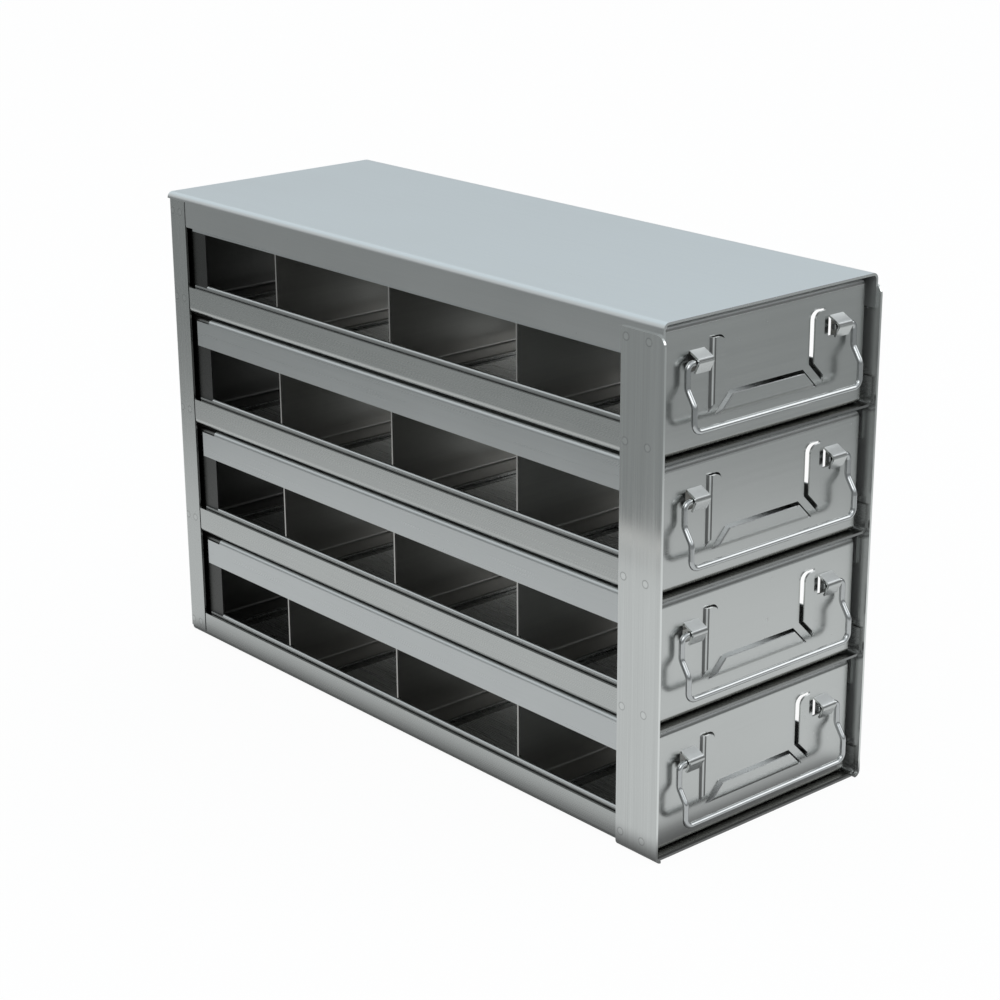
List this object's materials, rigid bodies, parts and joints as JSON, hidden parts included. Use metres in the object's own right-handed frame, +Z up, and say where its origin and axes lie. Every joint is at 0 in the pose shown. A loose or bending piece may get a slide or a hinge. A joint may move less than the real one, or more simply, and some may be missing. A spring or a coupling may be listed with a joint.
{
  "type": "freezer drawer rack",
  "caption": "Open-sided freezer rack in folded stainless steel with stacked sliding drawers, each with upright dividers, a label holder and a hinged wire bail",
  "frame": {"origin": "the middle of the bounding box's underside, on the floor the rack stands on", "axes": "+Z up, +Y to the back, the drawers' fronts face -Y, +X to the right seen from the front"},
  "size_m": [0.139, 0.3787, 0.2508],
  "materials": {
    "cover_steel": "satin stainless sheet",
    "upright_steel": "stainless sheet brushed along the uprights",
    "shelf_steel": "stainless sheet with a fine grain from front to back",
    "drawer_steel": "plain stainless sheet",
    "rail_steel": "stainless sheet with a fine grain from front to back",
    "panel_steel": "stainless sheet brushed from side to side",
    "bright_wire": "bright drawn stainless wire"
  },
  "bodies": {
    "rack": {"top_cover": "cover_steel", "back_cover": "upright_steel", "front_frame": "upright_steel", "shelf_1": "shelf_steel", "shelf_2": "shelf_steel", "shelf_3": "shelf_steel", "bottom_tray": "shelf_steel"},
    "drawer_1": {"drawer_1_floor_tray": "drawer_steel", "drawer_1_left_rail": "rail_steel", "drawer_1_right_rail": "rail_steel", "drawer_1_front_panel": "panel_steel", "drawer_1_rear_panel": "panel_steel", "drawer_1_divider_1": "drawer_steel", "drawer_1_divider_2": "drawer_steel", "drawer_1_divider_3": "drawer_steel"},
    "drawer_1_handle": {"drawer_1_bail_handle": "bright_wire"},
    "drawer_2": {"drawer_2_floor_tray": "drawer_steel", "drawer_2_left_rail": "rail_steel", "drawer_2_right_rail": "rail_steel", "drawer_2_front_panel": "panel_steel", "drawer_2_rear_panel": "panel_steel", "drawer_2_divider_1": "drawer_steel", "drawer_2_divider_2": "drawer_steel", "drawer_2_divider_3": "drawer_steel"},
    "drawer_2_handle": {"drawer_2_bail_handle": "bright_wire"},
    "drawer_3": {"drawer_3_floor_tray": "drawer_steel", "drawer_3_left_rail": "rail_steel", "drawer_3_right_rail": "rail_steel", "drawer_3_front_panel": "panel_steel", "drawer_3_rear_panel": "panel_steel", "drawer_3_divider_1": "drawer_steel", "drawer_3_divider_2": "drawer_steel", "drawer_3_divider_3": "drawer_steel"},
    "drawer_3_handle": {"drawer_3_bail_handle": "bright_wire"},
    "drawer_4": {"drawer_4_floor_tray": "drawer_steel", "drawer_4_left_rail": "rail_steel", "drawer_4_right_rail": "rail_steel", "drawer_4_front_panel": "panel_steel", "drawer_4_rear_panel": "panel_steel", "drawer_4_divider_1": "drawer_steel", "drawer_4_divider_2": "drawer_steel", "drawer_4_divider_3": "drawer_steel"},
    "drawer_4_handle": {"drawer_4_bail_handle": "bright_wire"}
  },
  "joints": [
    {"name": "drawer_1_slide", "type": "slide", "parent": "rack", "child": "drawer_1", "axis": [0, -1, 0], "range_m": [0, 0.33]},
    {"name": "drawer_1_handle_hinge", "type": "hinge", "parent": "drawer_1", "child": "drawer_1_handle", "pos_m": [0, -0.18335, 0.23028], "axis": [-1, 0, 0], "range_deg": [0, 110]},
    {"name": "drawer_2_slide", "type": "slide", "parent": "rack", "child": "drawer_2", "axis": [0, -1, 0], "range_m": [0, 0.33]},
    {"name": "drawer_2_handle_hinge", "type": "hinge", "parent": "drawer_2", "child": "drawer_2_handle", "pos_m": [0, -0.18335, 0.16808], "axis": [-1, 0, 0], "range_deg": [0, 110]},
    {"name": "drawer_3_slide", "type": "slide", "parent": "rack", "child": "drawer_3", "axis": [0, -1, 0], "range_m": [0, 0.33]},
    {"name": "drawer_3_handle_hinge", "type": "hinge", "parent": "drawer_3", "child": "drawer_3_handle", "pos_m": [0, -0.18335, 0.10588], "axis": [-1, 0, 0], "range_deg": [0, 110]},
    {"name": "drawer_4_slide", "type": "slide", "parent": "rack", "child": "drawer_4", "axis": [0, -1, 0], "range_m": [0, 0.33]},
    {"name": "drawer_4_handle_hinge", "type": "hinge", "parent": "drawer_4", "child": "drawer_4_handle", "pos_m": [0, -0.18335, 0.04368], "axis": [-1, 0, 0], "range_deg": [0, 110]}
  ]
}
